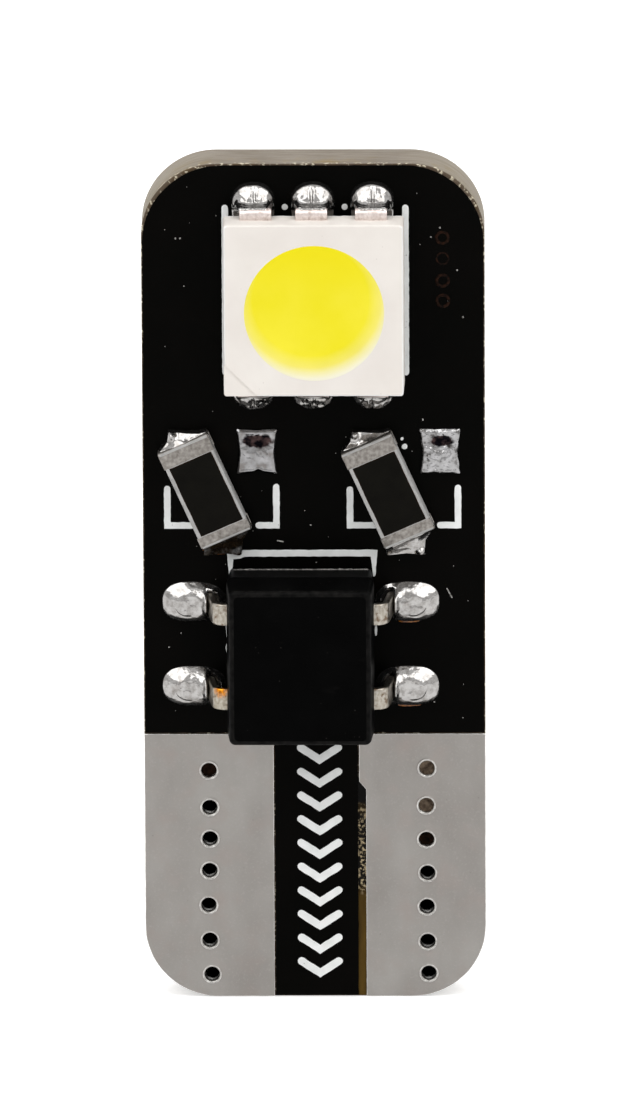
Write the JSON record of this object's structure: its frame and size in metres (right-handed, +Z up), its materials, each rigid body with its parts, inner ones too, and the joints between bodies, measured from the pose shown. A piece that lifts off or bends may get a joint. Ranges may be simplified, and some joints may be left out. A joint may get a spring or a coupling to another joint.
{
  "type": "wedge base led bulb",
  "caption": "Wedge base LED bulb: a bare circuit board with a square LED on each face, a bridge rectifier, chip resistors and tinned contacts at the foot for a wedge socket.",
  "frame": {"origin": "centre of the board's bottom edge face, where it stands in the wedge socket", "axes": "+Z up the board away from the socket, -Y out of the face with the bridge rectifier, +X across the board"},
  "size_m": [0.0098, 0.0058, 0.025],
  "materials": {
    "laminate": "matt glass-fibre laminate",
    "solder_mask": "satin black",
    "tinned_contact": "matt tin",
    "white_housing": "smooth white plastic",
    "phosphor_gel": "smooth yellow gel",
    "plated_lead": "tin-plated copper",
    "solder": "bright solder",
    "black_epoxy": "satin moulding",
    "white_ceramic": "unglazed",
    "resistor_coat": "satin black",
    "end_cap": "matt tin"
  },
  "bodies": {
    "root": {"board_laminate": "laminate", "solder_mask_front": "solder_mask", "solder_mask_back": "solder_mask", "contact_left": "tinned_contact", "contact_right": "tinned_contact", "front_led_housing": "white_housing", "front_led_gel": "phosphor_gel", "front_led_lead_1": "plated_lead", "front_led_lead_2": "plated_lead", "front_led_lead_3": "plated_lead", "front_led_lead_4": "plated_lead", "front_led_lead_5": "plated_lead", "front_led_lead_6": "plated_lead", "front_led_solder_1": "solder", "front_led_solder_2": "solder", "front_led_solder_3": "solder", "front_led_solder_4": "solder", "front_led_solder_5": "solder", "front_led_solder_6": "solder", "bridge_body": "black_epoxy", "bridge_lead_1": "plated_lead", "bridge_lead_2": "plated_lead", "bridge_lead_3": "plated_lead", "bridge_lead_4": "plated_lead", "bridge_solder_1": "solder", "bridge_solder_2": "solder", "bridge_solder_3": "solder", "bridge_solder_4": "solder", "resistor_left_ceramic": "white_ceramic", "resistor_left_coat": "resistor_coat", "resistor_left_cap_top": "end_cap", "resistor_left_cap_bottom": "end_cap", "resistor_left_solder_top": "solder", "resistor_left_solder_bottom": "solder", "resistor_left_spare_pad": "solder", "resistor_right_ceramic": "white_ceramic", "resistor_right_coat": "resistor_coat", "resistor_right_cap_top": "end_cap", "resistor_right_cap_bottom": "end_cap", "resistor_right_solder_top": "solder", "resistor_right_solder_bottom": "solder", "resistor_right_spare_pad": "solder", "back_led_housing": "white_housing", "back_led_gel": "phosphor_gel", "back_led_lead_1": "plated_lead", "back_led_lead_2": "plated_lead", "back_led_lead_3": "plated_lead", "back_led_lead_4": "plated_lead", "back_led_lead_5": "plated_lead", "back_led_lead_6": "plated_lead", "load_lower_ceramic": "white_ceramic", "load_lower_coat": "resistor_coat", "load_lower_terminal_left": "end_cap", "load_lower_terminal_right": "end_cap", "load_upper_ceramic": "white_ceramic", "load_upper_coat": "resistor_coat", "load_upper_terminal_left": "end_cap", "load_upper_terminal_right": "end_cap"}
  },
  "joints": []
}
